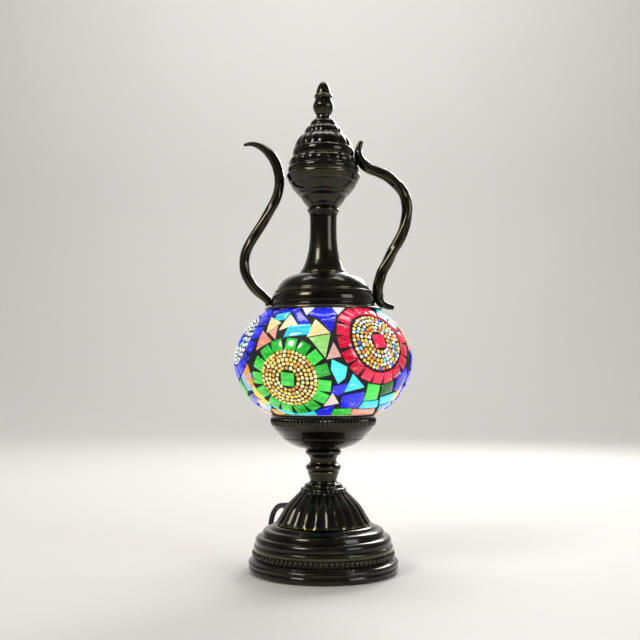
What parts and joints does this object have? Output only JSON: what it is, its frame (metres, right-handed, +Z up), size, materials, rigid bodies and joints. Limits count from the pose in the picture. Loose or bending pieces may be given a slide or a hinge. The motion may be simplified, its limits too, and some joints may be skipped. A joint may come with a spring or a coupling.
{
  "type": "table lamp",
  "caption": "Ewer-shaped table lamp: stepped dark metal foot, fluted cone, mosaic glass globe, and a lift-off metal top with neck, lid, finial, rope handle and spout.",
  "frame": {"origin": "centre of the underside of the felt pad, on the table", "axes": "+Z up along the lamp's axis, +X towards the handle, -X towards the spout, -Y towards the viewer"},
  "size_m": [0.1612, 0.2678, 0.4405],
  "materials": {
    "antique_metal": "dark antiqued cast metal, glossy lacquer",
    "cast_metal": "dark antiqued cast metal, satin",
    "rope_metal": "dark antiqued twisted bar",
    "zinc_steel": "zinc plated steel",
    "raw_brass": "plain brass",
    "spring_brass": "rolled spring brass",
    "felt": "wool felt",
    "board": "pressed board",
    "phenolic": "black phenolic",
    "porcelain": "glazed porcelain",
    "wire_sleeve": "heat-proof sleeve",
    "bulb_glass": "clear glass",
    "bulb_cap": "rolled aluminium",
    "bulb_insulator": "black vitrite and solder",
    "filament": "glass mount with a tungsten wire",
    "plaster": "plaster of Paris",
    "blown_glass": "clear blown glass",
    "grout": "black tile grout",
    "green_glass": "streaky green sheet glass",
    "red_glass": "streaky red sheet glass",
    "blue_glass": "blue sheet glass",
    "gold_beads": "round glass beads",
    "mixed_beads": "round glass beads",
    "clear_beads": "round glass beads",
    "filler_glass": "cobalt sheet glass",
    "cyan_glass": "cyan sheet glass",
    "black_pvc": "soft moulded plastic",
    "flex_pvc": "smooth cord sheath",
    "switch_plastic": "moulded plastic",
    "tie_strap": "woven hook-and-loop strap",
    "plug_metal": "nickel plated brass"
  },
  "bodies": {
    "root": {"felt_pad": "felt", "base_cover": "board", "foot": "antique_metal", "clamp_plate": "zinc_steel", "base_nut": "raw_brass", "fluted_cone": "antique_metal", "stem_tube": "raw_brass", "stem_lower": "cast_metal", "stem_knop": "cast_metal", "stem_upper": "cast_metal", "globe_bowl": "antique_metal", "bowl_washer": "zinc_steel", "bowl_nut": "raw_brass", "holder_cap": "phenolic", "holder_shell": "phenolic", "holder_insert": "porcelain", "holder_screw_shell": "raw_brass", "holder_contact": "raw_brass", "terminal_screws": "raw_brass", "inner_flex": "wire_sleeve", "globe_bedding": "plaster", "globe_glass": "blown_glass", "grout_bed": "grout", "squares_green": "green_glass", "squares_red": "red_glass", "squares_blue": "blue_glass", "beads_gold": "gold_beads", "beads_mixed": "mixed_beads", "beads_clear": "clear_beads", "filler_tiles": "filler_glass", "edge_tiles": "cyan_glass", "strain_relief": "black_pvc", "cord_lead": "flex_pvc", "switch_base": "switch_plastic", "switch_cover": "switch_plastic", "cord_link": "flex_pvc", "cord_coil": "flex_pvc", "coil_tie": "tie_strap", "cord_tail": "flex_pvc", "plug_body": "black_pvc", "plug_pins": "plug_metal"},
    "top": {"cap_band": "antique_metal", "cap_dome": "antique_metal", "cap_clips": "spring_brass", "clip_rivets": "spring_brass", "neck": "cast_metal", "funnel_collar": "antique_metal", "lid_drum": "antique_metal", "lid_dome": "antique_metal", "finial": "cast_metal", "top_rod": "zinc_steel", "top_nut": "zinc_steel", "handle": "rope_metal", "spout": "rope_metal", "rim_screws": "zinc_steel"},
    "bulb": {"bulb_glass": "bulb_glass", "bulb_cap": "bulb_cap", "bulb_contact": "bulb_insulator", "bulb_filament": "filament"},
    "rocker": {"switch_rocker": "switch_plastic"}
  },
  "joints": [
    {"name": "top_lift", "type": "slide", "parent": "root", "child": "top", "axis": [0, 0, 1], "range_m": [0, 0.12]},
    {"name": "bulb_pull", "type": "slide", "parent": "root", "child": "bulb", "axis": [0, 0, 1], "range_m": [0, 0.03]},
    {"name": "rocker_tilt", "type": "hinge", "parent": "root", "child": "rocker", "pos_m": [0.008, 0.102, 0.0124], "axis": [0, 1, 0], "range_deg": [-16, 0]}
  ]
}
